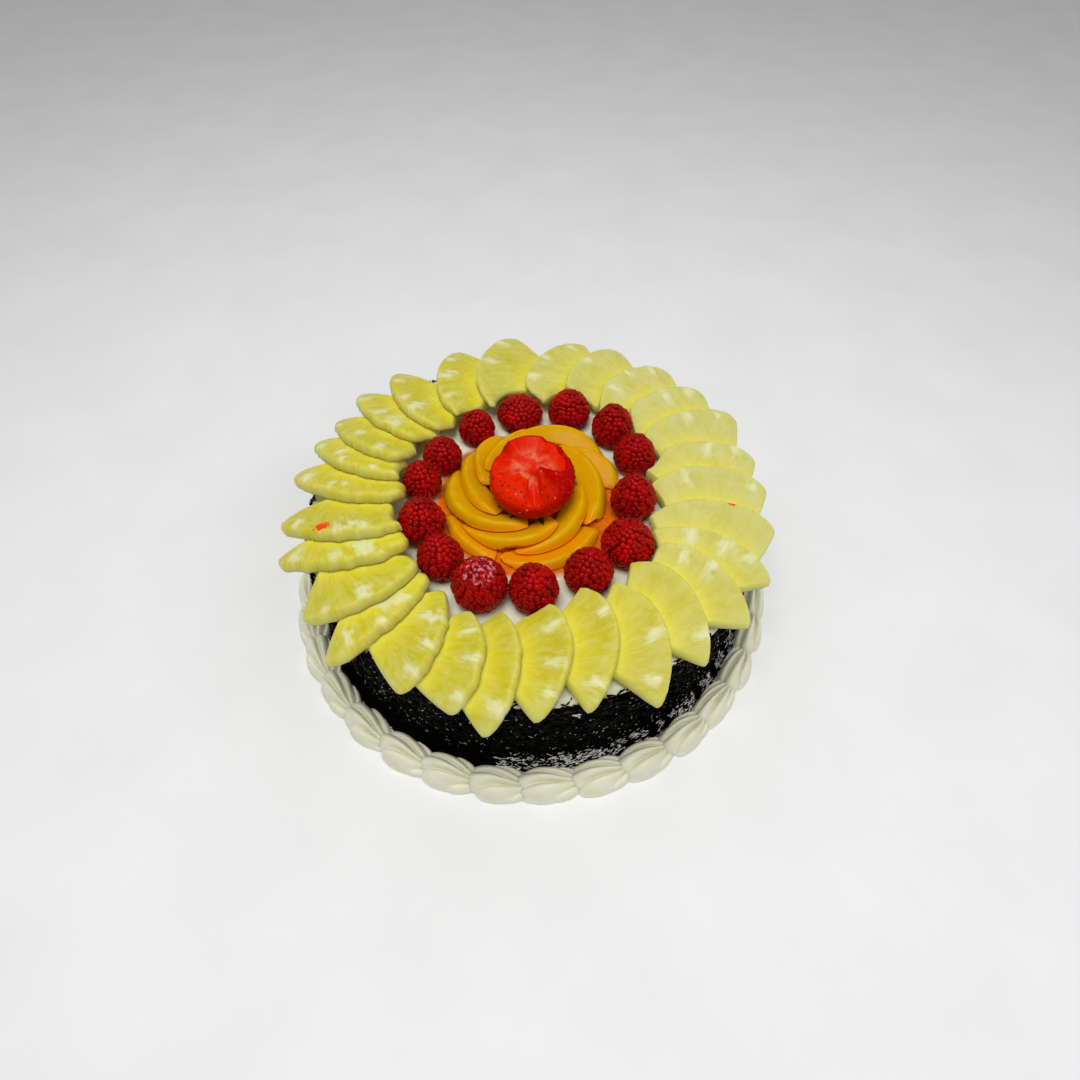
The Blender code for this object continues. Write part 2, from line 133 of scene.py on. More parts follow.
# peach slices: angle, distance and height of the ridge from one end to the other
PEACHES = [
    [(156, 38.3, 61.5), (180, 37, 64), (197, 34.5, 65), (213, 30.6, 65.6), (229, 26.6, 66),
     (247, 22.6, 66), (265, 21.2, 65.2)],
    [(131, 39, 61.5), (147, 37, 63.6), (162, 32.5, 64.8), (179, 27.8, 65.8), (200, 24.3, 66.3),
     (223, 21.6, 66)],
    [(106, 38, 62), (115, 39, 64.5), (124, 38.8, 65.2), (134, 36.6, 65.5), (143, 32.5, 65.8),
     (155, 26.5, 66.3), (168, 22.6, 66.3)],
    [(84, 42.5, 61), (95, 40.6, 64.5), (104, 37, 65.6), (120, 32, 66.2), (140, 27, 66.4),
     (150, 24.5, 66.2)],
    [(36, 41.5, 62), (54, 44.6, 65), (67, 44.2, 66), (79, 41.6, 66.5), (90, 38.6, 66.8),
     (103, 34, 66.8), (117, 28.5, 66.4)],
    [(12, 39.5, 61), (22, 41.4, 63.2), (31, 40.8, 64.2), (40, 38, 65), (54, 34.6, 65)],
    [(328, 30, 61.5), (345, 31.2, 64.2), (360, 31, 65.6), (380, 31, 66.6), (400, 31.2, 67),
     (418, 30.6, 66.6), (433, 28, 65.6)],
    [(260, 32.2, 60), (280, 30.2, 62.2), (301, 28, 64.2), (320, 25.8, 65.6), (346, 23.9, 66.4),
     (366, 21.9, 66.4)],
    [(212, 35.4, 60.6), (233, 32.8, 62.8), (253, 30, 64.4), (272, 27.4, 65.4), (290, 24.6, 66),
     (301, 22.2, 65.8)],
    [(198, 38.6, 59.6), (212, 39.4, 60.6), (228, 39, 60.6), (244, 38.4, 59.6)],
    [(252, 38, 59.2), (275, 38.8, 60.4), (292, 38.4, 61), (308, 37, 61.2), (326, 34.6, 60.6)]]
PEACH_REACH = 9.0
SKIN_WIDTH = 4.2
SKIN_DROP = 8.0
CUT_SLOPE = 0.42
PEACH_THICKNESS = 6.0
PEACH_DEPTH = 9.0
PEACH_GAP = 0.75

# strawberry: middle, depth of the cuts, and its opened wedges counter-clockwise from the front right,
# each with its start angle, the radius and height of its rim, and a point halfway down its cut flesh
BERRY_MIDDLE = (0.7, -2.5)
CUT_DEPTH = 1.3
CUT_WIDTH = 10.0
WEDGES = [(-74, 3.6, 84, 2.2, 80.8), (-15, 14.2, 82.8, 6, 80.8), (33, 14, 84.6, 7, 81.2),
          (68, 15, 85.6, 7, 81), (141, 17.3, 79.8, 8.5, 81.2), (195, 6, 80.6, 3.5, 79.8),
          (263, 17.6, 76.4, 10, 79.4)]
SEEDS_AROUND = 26
LEAVES = [(163, 19.2), (211, 18.2), (237, 18.4), (285, 20), (330, 16), (20, 15), (70, 16),
          (115, 16)]

# camera, in millimetres and degrees, and its focal length for a 36 mm wide sensor
CAMERA_PLACE = (4.3, -201.6, 288.5)
CAMERA_PITCH = 52.51
CAMERA_ROLL = 0.44
CAMERA_LENS = 21.667

# stage
FLOOR_HALF = 4000.0
LIGHT_TARGET = (0.0, 0.0, 40.0)


# meshes

def cosd(deg):
    return math.cos(math.radians(deg))


def sind(deg):
    return math.sin(math.radians(deg))


def facing(deg, middle):
    """1 at the middle angle, falling to 0 a quarter turn away."""
    return max(0, cosd(deg - middle))


def fade(distance, reach):
    """1 up to a distance of 0, then falling off over a reach."""
    return math.exp(-max(0, distance) / reach)


def between(x, xs, ys):
    return float(np.interp(x, xs, ys))


def polar(radius, deg, *height):
    """Point at a radius and an angle round the axis, flat or at a height."""
    return np.array([radius * cosd(deg), radius * sind(deg), *height])


def arrows(deg):
    """Unit arrows outwards, sideways and up at an angle round the axis."""
    return np.array([polar(1.0, deg, 0.0), polar(1.0, deg + 90.0, 0.0), (0.0, 0.0, 1.0)])


def rough(point, size, seed=0.0):
    """Smooth noise between about -1 and 1 with features of the given size."""
    return noise.noise(Vector((point[0] / size + seed, point[1] / size - seed, point[2] / size + 2 * seed)))


def eased(count):
    """Shares from 0 to 1, closer together at both ends."""
    return [0.5 - 0.5 * math.cos(math.pi * k / (count - 1)) for k in range(count)]


def ring(centre, first, second, count, turn=0.0):
    """Points round a centre on the oval that two arrows span, turned by a share of a step."""
    angles = [math.tau * (k + turn) / count for k in range(count)]
    return [centre + math.cos(a) * first + math.sin(a) * second for a in angles]


def unit(arrow):
    return arrow / np.linalg.norm(arrow)


def run_along(xs, ys):
    """Length of a line from its start to each of its points."""
    return np.concatenate([[0.0], np.cumsum(np.hypot(np.diff(xs), np.diff(ys)))])


def loft_faces(rows, cols, wrap=True):
    """Quads through rows of points, each row a closed ring if wrap is set."""
    faces = []
    for a in range(0, (rows - 1) * cols, cols):
        for j in range(cols if wrap else cols - 1):
            k = (j + 1) % cols
            faces.append((a + j, a + k, a + cols + k, a + cols + j))
    return faces


def tube_faces(rows, cols):
    """Closed rings joined into a tube with both ends shut."""
    faces = loft_faces(rows, cols)
    faces.append(tuple(range(cols - 1, -1, -1)))
    faces.append(tuple((rows - 1) * cols + k for k in range(cols)))
    return faces


def sheet_faces(rows, cols):
    """Upper and under side of a sheet of points, and the band of faces round its rim."""
    total = rows * cols
    faces = loft_faces(rows, cols, wrap=False)
    faces += [tuple(total + v for v in reversed(f)) for f in faces]
    rim = list(range(cols)) + [r * cols + cols - 1 for r in range(1, rows)]
    rim += [(rows - 1) * cols + c for c in range(cols - 2, -1, -1)]
    rim += [r * cols for r in range(rows - 2, 0, -1)]
    faces += [(b, a, total + a, total + b) for a, b in zip(rim, rim[1:] + rim[:1])]
    return faces


class Shape:
    """Points, faces, face materials and point values gathered into one mesh."""

    def __init__(self):
        self.verts = []
        self.faces = []
        self.kinds = []
        self.values = {}
        self.flat = range(0)

    def add(self, verts, faces, kind=0, **values):
        start = len(self.verts)
        for name, given in values.items():
            line = self.values.setdefault(name, [])
            line += [0.0] * (start - len(line))
            line += list(given)
        self.verts += [tuple(float(c) for c in v) for v in verts]
        self.faces += [tuple(start + v for v in f) for f in faces]
        self.kinds += [kind] * len(faces)

    def build(self, name, materials):
        mesh = bpy.data.meshes.new(name)
        mesh.from_pydata([tuple(c * MM for c in v) for v in self.verts], [], self.faces)
        for material in materials:
            mesh.materials.append(material)
        mesh.polygons.foreach_set("material_index", self.kinds)
        mesh.polygons.foreach_set("use_smooth", [n not in self.flat for n in range(len(self.faces))])
        for label, line in self.values.items():
            line += [0.0] * (len(self.verts) - len(line))
            kind, field = "FLOAT", "value"
            if isinstance(line[0], tuple):
                kind, field = "FLOAT_VECTOR", "vector"
                line = [c for v in line for c in (v or (0.0, 0.0, 0.0))]
            mesh.attributes.new(label, kind, "POINT").data.foreach_set(field, line)
        mesh.update()
        return add_item(name, mesh)


def add_item(name, data, place_mm=(0.0, 0.0, 0.0)):
    item = bpy.data.objects.new(name, data)
    bpy.context.scene.collection.objects.link(item)
    item.location = [c * MM for c in place_mm]
    return item


def place(shape, name, materials, node):
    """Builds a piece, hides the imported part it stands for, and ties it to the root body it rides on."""
    item = shape.build(name, materials)
    if node:
        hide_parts(node)
    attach(item, "root")


# materials

def srgb(*colour):
    """Colour as seen in a picture, 0 to 255, to the shader's linear values."""
    parts = [c / 255.0 for c in colour]
    return (*[c / 12.92 if c <= 0.04045 else ((c + 0.055) / 1.055) ** 2.4 for c in parts], 1.0)


class Finish:
    """A material with short calls for the nodes it needs."""

    def __init__(self, name, roughness, **inputs):
        self.material = bpy.data.materials.new(name)
        self.material.use_nodes = True
        tree = self.material.node_tree
        self.nodes, self.links = tree.nodes, tree.links
        self.shader = self.nodes["Principled BSDF"]
        given = {"Roughness": roughness, "Specular_IOR_Level": 0.14, **inputs}
        self.feed(self.shader, {label.replace("_", " "): value for label, value in given.items()})
        self.where = self.nodes.new("ShaderNodeTexCoord").outputs["Object"]

    def feed(self, node, inputs):
        """Links sockets of a node, or sets them to a number or a tuple."""
        for label, given in inputs.items():
            if isinstance(given, (tuple, float)):
                node.inputs[label].default_value = given
            elif given is not None:
                self.links.new(given, node.inputs[label])

    def node(self, kind, **inputs):
        node = self.nodes.new("ShaderNode" + kind)
        self.feed(node, inputs)
        return node

    def noise(self, size, detail=3.0, vector=None, distortion=0.0):
        """Noise with features of a size in millimetres."""
        return self.node("TexNoise", Scale=1.0 / (size * MM), Detail=detail, Distortion=distortion,
                         Vector=vector or self.where).outputs["Fac"]

    def value(self, label, output="Fac"):
        node = self.node("Attribute")
        node.attribute_name = label
        return node.outputs[output]

    def ramp(self, factor, *stops):
        """Colour ramp through stops, each a position and then a number or a colour from 0 to 255."""
        node = self.node("ValToRGB", Fac=factor)
        elements = node.color_ramp.elements
        while len(elements) < len(stops):
            elements.new(0.5)
        for element, (position, *colour) in zip(elements, stops):
            element.position = position
            element.color = srgb(*colour) if len(colour) == 3 else (*colour * 3, 1.0)
        return node.outputs["Color"]

    def mix(self, factor, first, second):
        """Mixes in a second tone or a colour from 0 to 255."""
        node = self.node("Mix")
        node.data_type = "RGBA"
        self.feed(node, {0: factor, 6: first, 7: srgb(*second) if isinstance(second, tuple) else second})
        return node.outputs[2]

    def math(self, operation, first, second):
        node = self.node("Math")
        node.operation = operation
        self.feed(node, {0: first, 1: second})
        return node.outputs[0]

    def times(self, first, second):
        return self.math("MULTIPLY", first, second)

    def broken(self, label, grain, amount):
        """A value of the points with its edge broken up by noise."""
        return self.math("ADD", self.value(label), self.times(self.math("SUBTRACT", grain, 0.5), amount))

    def stretch(self, vector, scale):
        return self.node("Mapping", Vector=vector, Scale=scale).outputs["Vector"]

    def bump(self, height, depth, strength):
        """Bump whose full height is a depth in millimetres."""
        return self.node("Bump", Height=height, Distance=depth * MM, Strength=strength).outputs["Normal"]

    def finish(self, colour, normal, roughness=None):
        self.feed(self.shader, {"Base Color": colour, "Normal": normal, "Roughness": roughness})
        return self.material


def cream_material():
    m = Finish("cream", 0.42, Subsurface_Weight=0.35, Subsurface_Scale=0.004,
               Subsurface_Radius=(1.0, 0.8, 0.5))
    tone = m.ramp(m.noise(9.0, 4.0), (0.3, 227, 226, 198), (0.7, 236, 235, 213))
    wet = m.math("ADD", m.value("juice"), m.times(m.noise(5.0), 0.4))
    juice = m.ramp(m.noise(3.0), (0.3, 206, 88, 0), (0.7, 236, 126, 2))
    tone = m.mix(m.ramp(wet, (0.55, 0.0), (0.85, 1.0)), tone, juice)
    fine = m.noise(0.9, 4.0)
    return m.finish(tone, m.bump(fine, 0.12, 0.5), m.ramp(fine, (0.3, 0.36), (0.7, 0.5)))


def coat_material():
    m = Finish("dark_flakes", 0.55, Specular_IOR_Level=0.025)
    tone = m.ramp(m.noise(3.0), (0.3, 2, 2, 1), (0.62, 5, 5, 4), (0.8, 14, 12, 9))
    fine = m.noise(0.5)
    return m.finish(tone, m.bump(fine, 0.1, 0.6), m.ramp(fine, (0.3, 0.3), (0.7, 0.6)))


def grained(name, roughness, broad, fine, depth, strength, *stops):
    """Plain finish: colour stops through a broad noise, and a fine noise as relief."""
    m = Finish(name, roughness)
    return m.finish(m.ramp(m.noise(*broad), *stops), m.bump(m.noise(*fine), depth, strength))


def flake_material():
    return grained("brown_flakes", 0.5, (1.5, 3.0), (0.4, 3.0), 0.08, 0.6,
                   (0.3, 34, 18, 10), (0.6, 60, 32, 18), (0.8, 100, 60, 34))


def speck_material():
    return grained("white_specks", 0.35, (1.0, 2.0), (0.4, 2.0), 0.05, 0.5,
                   (0.35, 222, 220, 208), (0.65, 248, 247, 240))


def hair_material():
    return grained("berry_hairs", 0.6, (2.0, 2.0), (0.3, 2.0), 0.02, 0.4,
                   (0.3, 150, 70, 50), (0.7, 205, 150, 110))


def seed_material():
    return grained("strawberry_seeds", 0.35, (3.0, 2.0), (0.3, 2.0), 0.03, 0.5,
                   (0.35, 70, 16, 4), (0.6, 120, 60, 14), (0.75, 190, 150, 50))


def leaf_material():
    return grained("leaf", 0.55, (1.5, 3.0), (0.6, 3.0), 0.1, 0.6, (0.3, 20, 34, 12), (0.7, 52, 78, 30))


def pineapple_material():
    """Wet yellow flesh with fibres that run out from the middle of the ring."""
    m = Finish("pineapple", 0.42, Subsurface_Weight=0.75, Subsurface_Scale=0.008,
               Subsurface_Radius=(1.0, 0.9, 0.3))
    ring = m.value("ring", "Vector")
    fibres = m.noise(0.8, 4.0, m.stretch(ring, (0.11, 1.0, 1.0)), 0.5)
    broad = m.noise(9.0)
    patches = m.noise(3.0, 4.0, m.stretch(ring, (0.45, 1.0, 1.0)), 0.8)
    deep = m.ramp(broad, (0.3, 191, 179, 20), (0.55, 196, 185, 37), (0.75, 200, 193, 64))
    light = m.ramp(broad, (0.3, 199, 195, 107), (0.7, 207, 205, 142))
    # painted light: slices towards the right side of the cake get the paler tone
    tone = m.mix(m.value("painted_side_light"), deep, light)
    tone = m.mix(m.ramp(patches, (0.42, 0.0), (0.78, 0.5)), tone, (216, 213, 149))
    tone = m.mix(m.ramp(fibres, (0.42, 0.0), (0.7, 0.26)), tone, (208, 198, 32))
    # painted glow: brighter gold where the next slice lies over this one and on the underside, standing in
    # for light shining through the flesh into the shaded seam
    painted_crease_glow = m.value("painted_crease_glow")
    tone = m.mix(m.times(painted_crease_glow, 0.75), tone, (242, 224, 4))
    tone = m.mix(m.times(m.math("POWER", painted_crease_glow, 3.0), 0.7), tone, (255, 246, 110))
    thin = m.times(m.value("rim"), m.ramp(patches, (0.3, 0.3), (0.7, 0.8)))
    tone = m.mix(thin, tone, (204, 204, 128))
    torn = m.broken("pale", fibres, 1.1)
    tone = m.mix(m.ramp(torn, (0.15, 0.0), (0.95, 0.75)), tone, (228, 228, 190))
    stain = m.broken("stain", m.noise(1.0), 1.5)
    tone = m.mix(m.ramp(stain, (0.38, 0.0), (0.55, 0.95)), tone, (236, 44, 14))
    relief = m.math("ADD", m.times(fibres, 0.7), m.times(patches, 0.6))
    return m.finish(tone, m.bump(relief, 0.36, 0.6), m.ramp(patches, (0.35, 0.24), (0.65, 0.42)))


def raspberry_material():
    m = Finish("raspberry", 0.24, Specular_IOR_Level=0.1, Subsurface_Weight=0.15, Subsurface_Scale=0.002,
               Subsurface_Radius=(1.0, 0.1, 0.08))
    tone = m.ramp(m.noise(7.0), (0.3, 132, 0, 0), (0.5, 156, 0, 0), (0.72, 186, 0, 0))
    # painted shade: the drupelets go a darker red towards their foot, in the crevices between them
    tone = m.mix(m.ramp(m.value("depth"), (0.2, 0.8), (0.6, 0.0)), tone, (112, 0, 0))
    # painted highlight: pinkish-white patches on the top of the glossy berry stand in for the lamp's
    # reflection
    frost = m.times(m.value("frost"), m.ramp(m.noise(1.6), (0.52, 0.0), (0.6, 0.6)))
    tone = m.mix(frost, tone, (236, 150, 168))
    fine = m.noise(0.6)
    return m.finish(tone, m.bump(fine, 0.06, 0.6), m.ramp(fine, (0.3, 0.16), (0.7, 0.3)))


def peach_material():
    """Yellow skin side outside the ridge, a little deeper on the cut face inside it."""
    m = Finish("peach", 0.25, Specular_IOR_Level=0.06, Subsurface_Weight=0.1, Subsurface_Scale=0.003,
               Subsurface_Radius=(1.0, 0.7, 0.1))
    broad = m.noise(8.0)
    skin = m.ramp(broad, (0.3, 208, 154, 0), (0.7, 214, 166, 0))
    flesh = m.ramp(broad, (0.3, 208, 148, 0), (0.7, 214, 161, 0))
    tone = m.mix(m.value("cut"), skin, flesh)
    # painted shade: a deeper orange where the slice lies low over what is beneath it, most at the front
    tone = m.mix(m.value("low"), tone, (246, 130, 0))
    # painted highlight: a pale yellow line along the ridge
    edge = m.times(m.value("edge"), m.ramp(m.noise(4.0), (0.4, 0.0), (0.6, 0.5)))
    tone = m.mix(edge, tone, (230, 190, 36))
    fine = m.noise(1.6)
    return m.finish(tone, m.bump(fine, 0.1, 0.4), m.ramp(fine, (0.3, 0.15), (0.7, 0.26)))


def strawberry_material():
    m = Finish("strawberry", 0.22, Specular_IOR_Level=0.035, Subsurface_Weight=0.1, Subsurface_Scale=0.002,
               Subsurface_Radius=(1.0, 0.2, 0.08))
    rays = m.noise(1.0, 4.0, m.stretch(m.value("spread", "Vector"), (1.0, 0.12, 1.0)), 0.3)
    broad = m.noise(6.0)
    skin = m.ramp(broad, (0.3, 172, 0, 0), (0.7, 192, 4, 0))
    # painted light: the upper skin on the front-left, towards the lamp, is a brighter orange-red
    skin = m.mix(m.value("painted_lit_side"), skin, (226, 34, 0))
    inside = m.ramp(broad, (0.3, 210, 10, 0), (0.7, 222, 34, 0))
    inside = m.mix(m.ramp(rays, (0.45, 0.0), (0.7, 0.35)), inside, (228, 66, 8))
    patchy = m.ramp(m.noise(4.5, 2.0), (0.42, 0.1), (0.6, 1.0))
    patchy = m.times(patchy, m.ramp(rays, (0.3, 0.35), (0.6, 1.0)))
    inside = m.mix(m.times(m.value("heart"), patchy), inside, (224, 124, 84))
    tone = m.mix(m.value("flesh"), skin, inside)
    fine = m.noise(1.2)
    relief = m.bump(m.math("ADD", fine, rays), 0.12, 0.5)
    return m.finish(tone, relief, m.ramp(fine, (0.3, 0.14), (0.7, 0.26)))


# cake

def rim_height(radius):
    """Height of the cake's rounded top edge."""
    out = max(0, radius - CAKE_RADIUS + EDGE_ROUND)
    if out > EDGE_ROUND:
        return 0.0
    return CAKE_HEIGHT - EDGE_ROUND + math.sqrt(EDGE_ROUND ** 2 - out ** 2)


def wall_radius(height):
    """Distance of the wall from the axis, less over the rounded top edge."""
    over = max(0, height - CAKE_HEIGHT + EDGE_ROUND)
    return CAKE_RADIUS - EDGE_ROUND + math.sqrt(EDGE_ROUND ** 2 - over ** 2)


def foot_flare(deg, height):
    """How far the coat spreads at the foot of the wall, most at the front."""
    front = max(facing(deg, FRONT_RIGHT), facing(deg, FRONT_LEFT))
    return (FLARE_LEAST + FLARE_FRONT * front) * math.exp(-(height / FLARE_HEIGHT) ** 2)


def build_cake(cream, coat):
    """Cream top and dark wall as one closed skin."""
    around = 360
    profile = [(CAKE_RADIUS - 1.4, 0.0, True)]
    profile += [(CAKE_RADIUS - 0.9, z, True) for z in np.linspace(1.0, CAKE_HEIGHT - EDGE_ROUND - 1.0, 26)]
    for deg in range(0, 91, 10):
        radius = CAKE_RADIUS - EDGE_ROUND + (EDGE_ROUND - 0.5) * cosd(deg)
        profile.append((radius, CAKE_HEIGHT - EDGE_ROUND * (1 - sind(deg)), deg < 50))
    profile += [(r, CAKE_HEIGHT, False) for r in (94, 86, 78, 70, 62, 56, 52, 48, 44, 40, 26, 10)]
    verts = []
    for radius, height, dark in profile:
        for deg in range(around):
            x, y, z = polar(radius + foot_flare(deg, height), deg, height)
            wave = rough((x, y, z), 7.0, 3.0)
            push = 1 + 0.35 * wave / radius if dark else 1.0
            verts.append((x * push, y * push, z if dark else z - 0.25 + 0.25 * wave))
    verts += [(0.0, 0.0, 0.0), (0.0, 0.0, CAKE_HEIGHT - 0.3)]
    juice = [math.exp(-(max(0, math.hypot(v[0], v[1]) - JUICE_RADIUS) / 8.0) ** 2) for v in verts]
    faces = loft_faces(len(profile), around)
    dark_faces = (sum(p[2] for p in profile) - 1) * around
    kinds = [int(n < dark_faces) for n in range(len(faces))] + [1] * around + [0] * around
    base = len(profile) * around
    faces += [((j + 1) % around, j, base) for j in range(around)]
    faces += [(base - around + j, base - around + (j + 1) % around, base + 1) for j in range(around)]
    shape = Shape()
    shape.add(verts, faces, juice=juice)
    shape.kinds = kinds
    place(shape, "cake_cream", [cream, coat], "cake_body")


def add_strand(shape, rng, radius, deg, height, length, thick, level=False):
    """A short bent strand lying on the wall, three-sided."""
    out, side, up = arrows(deg)
    turn = rng.uniform(-0.5, 0.5) if level else rng.uniform(0, math.pi)
    tilt = rng.uniform(-0.35, 0.35)
    along = unit(math.cos(turn) * side + math.sin(turn) * up + tilt * out)
    across = unit(np.cross(along, out))
    proud = np.cross(across, along)
    bend = rng.uniform(-0.22, 0.22) * length
    verts = []
    for share, fat in ((-0.5, 0.6), (0.0, 1.0), (0.5, 0.55)):
        at = out * radius + up * height + along * (share * length) + across * bend * (1 - 4 * share ** 2)
        verts += ring(at, thick * fat * across, thick * fat * proud, 3, 0.2387)
    for p in verts:
        p[2] = max(p[2], 0.0)
    shape.add(verts, tube_faces(3, 3))


def build_coat(coat, flakes, specks):
    """Thousands of dark strands on the wall, brown flakes at its top, pale specks and smears."""
    rng = random.Random(21)
    pick = rng.uniform
    shape = Shape()
    count = STRANDS
    for n in range(count + EDGE_STRANDS):
        height = 0.8 + (CAKE_HEIGHT - 2.6) * rng.random() ** 1.1
        if n >= count:
            height = CAKE_HEIGHT - 2.6 + 2.5 * rng.random() ** 1.3
        deg = pick(0, 360)
        radius = wall_radius(height) + pick(-0.7, 0.25) + foot_flare(deg, height)
        add_strand(shape, rng, radius, deg, height, pick(2.2, 6.0), pick(0.3, 0.55))
    place(shape, "coat_strands", [coat], None)
    shape = Shape()
    for _ in range(EDGE_FLAKES):
        height = CAKE_HEIGHT - 5.2 + 4.2 * rng.random() ** 0.7
        radius = wall_radius(height) + pick(-0.3, 0.3)
        add_strand(shape, rng, radius, pick(0, 360), height, pick(1.0, 2.6), pick(0.25, 0.5))
    place(shape, "edge_flakes", [flakes], None)
    shape = Shape()
    for _ in range(SPECKS):
        height = 2.0 + 50.0 * rng.random() ** 1.7
        radius = CAKE_RADIUS + pick(0.0, 0.4)
        add_strand(shape, rng, radius, pick(0, 360), height, pick(0.3, 1.5), pick(0.1, 0.2))
    for _ in range(SMEARS):
        deg = pick(*SMEAR_ANGLES)
        if rough((deg * 1.6, 0.0, 0.0), 6.0, 5.0) < -0.1 and deg > -66.0:
            continue
        height = max(0.6, SMEAR_HEIGHT - foot_flare(deg, 0.0) + rng.gauss(0.0, 2.2))
        radius = CAKE_RADIUS + pick(-0.35, 0.45) + foot_flare(deg, height)
        add_strand(shape, rng, radius, deg, height, pick(0.8, 3.2), pick(0.14, 0.42), level=True)
    for _ in range(9):
        add_strand(shape, rng, CAKE_RADIUS + 0.3, SPLASH[0] + rng.gauss(0.0, 0.5),
                   SPLASH[1] + rng.gauss(0.0, 0.8), pick(1.0, 2.4), 0.3)
    place(shape, "coat_specks", [specks], None)


def build_shell(shape, rng, index):
    """One piped shell: ridges that fan out from its tail and end round its fat head."""
    rows = 20
    cols = 104
    middle = index * 360.0 / SHELLS + SHELL_TURN + rng.uniform(-0.5, 0.5)
    long = SHELL_LENGTH / 2 * rng.uniform(0.96, 1.05)
    left = facing(middle, FRONT_LEFT)
    out = max(facing(middle, FRONT_RIGHT), 0.8 * left)
    wide = SHELL_WIDTH / 2 * rng.uniform(0.97, 1.04) * (1 - 0.2 * out)
    tall = SHELL_HEIGHT * rng.uniform(0.94, 1.04) * (1 - 0.1 * left)
    lean = rng.uniform(-0.12, 0.12)
    ridges = SHELL_RIDGES + rng.choice((-0.5, 0.0, 0.5))
    verts = []
    for i in range(rows):
        v = i / (rows - 1)
        for j in range(cols):
            fan = (j / (cols - 1) * 2.0 - 1.0) * 0.97
            lobe = abs(math.sin(ridges * math.pi * (fan + lean) / 2.0)) ** 0.55
            bend = (0.24 * math.sin(2.6 * v) + 0.03 * math.sin(index)) * (1 - fan * fan)
            angle = (fan + bend) * 1.5
            reach = v * (1 + 0.16 * (lobe - 0.5) * v * math.cos(angle))
            x = 1 - 2.0 * reach * math.cos(angle) ** 2
            y = 2.0 * reach * math.cos(angle) * math.sin(angle)
            inside = max(0, 1 - (x * x + (0.9 * y if y > 0.0 else y) ** 2) * (1 - 0.06 * lobe))
            taper = 1 - 0.62 * max(0, (x + 0.3) / 1.3) ** 1.5
            groove = 1 - SHELL_GROOVE * (1 - lobe) * min(1, 2.5 * v)
            height = tall * inside ** 0.5 * taper * groove if v <= 0.97 else 0.0
            height *= 1 + (0.12 - 0.4 * left) * max(0, y)
            wave = 0.25 * rough((x * 8.0, y * 8.0, index * 3.0), 3.0)
            radius = max(SHELL_INNER, SHELL_MIDDLE + 1.5 * out - wide * y + wave)
            deg = middle + math.degrees(long * x / radius)
            verts.append(polar(radius, deg, max(0, height + wave * min(1, height / 3.0))))
    outline = [(rows - 1) * cols + j for j in range(cols)]
    outline += [i * cols + cols - 1 for i in range(rows - 2, 0, -1)]
    outline += [i * cols for i in range(rows - 1)]
    shape.add(verts, loft_faces(rows, cols, wrap=False) + [tuple(reversed(outline))])


def build_border(cream):
    rng = random.Random(8)
    shape = Shape()
    for index in range(SHELLS):
        build_shell(shape, rng, index)
    place(shape, "piped_shells", [cream], "piped_border")


# pineapple

def slice_rise(deg):
    """Thickness and clearance of one slice, thicker on the left of the cake."""
    return 4.2 - 0.9 * cosd(deg) + SLICE_CLEARANCE


def fan_heights():
    """Level of each slice, and the height at each angle that lets a slice lie on the one before it."""
    angles = TIP_ANGLES[::-1]
    steps = np.cumsum([slice_rise(a) for a in angles])
    keys = [a + 360.0 * turn for turn in range(-2, 3) for a in angles]
    values = [s + steps[-1] * turn for turn in range(-2, 3) for s in steps]
    fine = np.arange(-500.0, 501.0, 0.5)
    spread = np.linspace(-11.0, 11.0, 9)
    return steps[::-1], fine, np.mean([np.interp(fine + d, keys, values) for d in spread], axis=0)


def droop(radius, deg):
    """How far the overhanging tips sink, most at the front."""
    return (2.6 - 1.1 * sind(deg)) * min(1.5, max(0, radius - DROOP_START) / 16.0) ** 1.4


def slice_edges(i, radius):
    """Angles of the clockwise and counter-clockwise edges of a slice at one radius."""
    inner = INNER_RADII[i]
    from_tip = TIP_RADII[i] - radius
    part = (radius - inner) / (TIP_RADII[i] - inner)
    line = TIP_ANGLES[i] + TWISTS[i] * (1 - part)
    round_end = math.sqrt(max(0, 4.0 * part * (1 - part)))
    pointed = 1 + 0.5 * facing(TIP_ANGLES[i], -60.0)
    swell = SLICE_BULGE * round_end ** (pointed if part > 0.5 else 2.0 - facing(TIP_ANGLES[i], LEFT))
    blunt = SLICE_BLUNT * facing(TIP_ANGLES[i], 150.0)
    bulge = 0.8 + swell + blunt * (1 - part) ** 2
    back = 0.8 + BACK_SLOPES[i] * from_tip + 0.8 * (1 - math.exp(-from_tip / 2.0))
    back = min(back, 0.8 + 0.5 * blunt + 1.3 * (radius - inner), 30.0)
    return line - math.degrees(back / radius), line + math.degrees(bulge / radius)


def berry_edge(deg):
    """Distance from the axis at which a ray leaves the last raspberry in its way, with clearance."""
    far = 0.0
    for angle, distance, half, _ in BERRIES:
        reach = half + BERRY_CLEARANCE
        aside = distance * sind(deg - angle)
        if abs(aside) < reach and cosd(deg - angle) > 0.0:
            far = max(far, distance * cosd(deg - angle) + math.sqrt(reach ** 2 - aside ** 2))
    return far


def round_edge(away, reach):
    """Share of the full height at a distance from a rounded edge."""
    return math.sqrt(max(0, 1 - (1 - min(1, away / reach)) ** 2))


